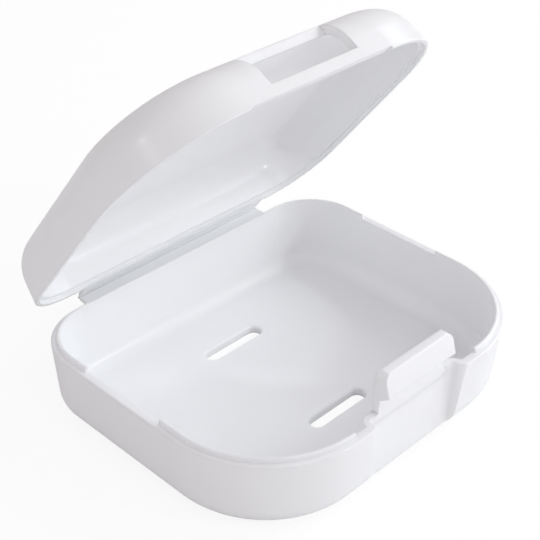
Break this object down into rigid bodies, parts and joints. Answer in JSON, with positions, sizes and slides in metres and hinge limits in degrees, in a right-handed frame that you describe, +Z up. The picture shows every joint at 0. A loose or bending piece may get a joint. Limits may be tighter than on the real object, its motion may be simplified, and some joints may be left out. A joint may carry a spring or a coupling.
{
  "type": "denture case",
  "caption": "Hinged moulded plastic case for a denture or retainer: drained tray, domed lid on a living hinge, and a press-in snap latch.",
  "frame": {"origin": "middle of the flat underside of the tray, on the table", "axes": "+Z up, X along the hinge, +Y towards the hinge, -Y towards the latch; the lid is kept 52.3 degrees open"},
  "size_m": [0.08, 0.0717, 0.0732],
  "materials": {
    "white_polypropylene": "satin to glossy moulded polypropylene, very slightly blue white"
  },
  "bodies": {
    "tray": {"base_tray": "white_polypropylene", "hinge_base_leaf": "white_polypropylene", "hinge_crease": "white_polypropylene"},
    "lid": {"lid_shell": "white_polypropylene", "hinge_lid_leaf": "white_polypropylene"},
    "latch": {"latch_hook": "white_polypropylene"}
  },
  "joints": [
    {"name": "lid_hinge", "type": "hinge", "parent": "tray", "child": "lid", "pos_m": [0, 0.0353, 0.01607], "axis": [-1, 0, 0], "range_deg": [-52.3, 127.7]},
    {"name": "latch_press", "type": "hinge", "parent": "tray", "child": "latch", "pos_m": [0, -0.0293, 0.0152], "axis": [-1, 0, 0], "range_deg": [0, 22], "stiffness_Nm_per_rad": 0.2}
  ]
}
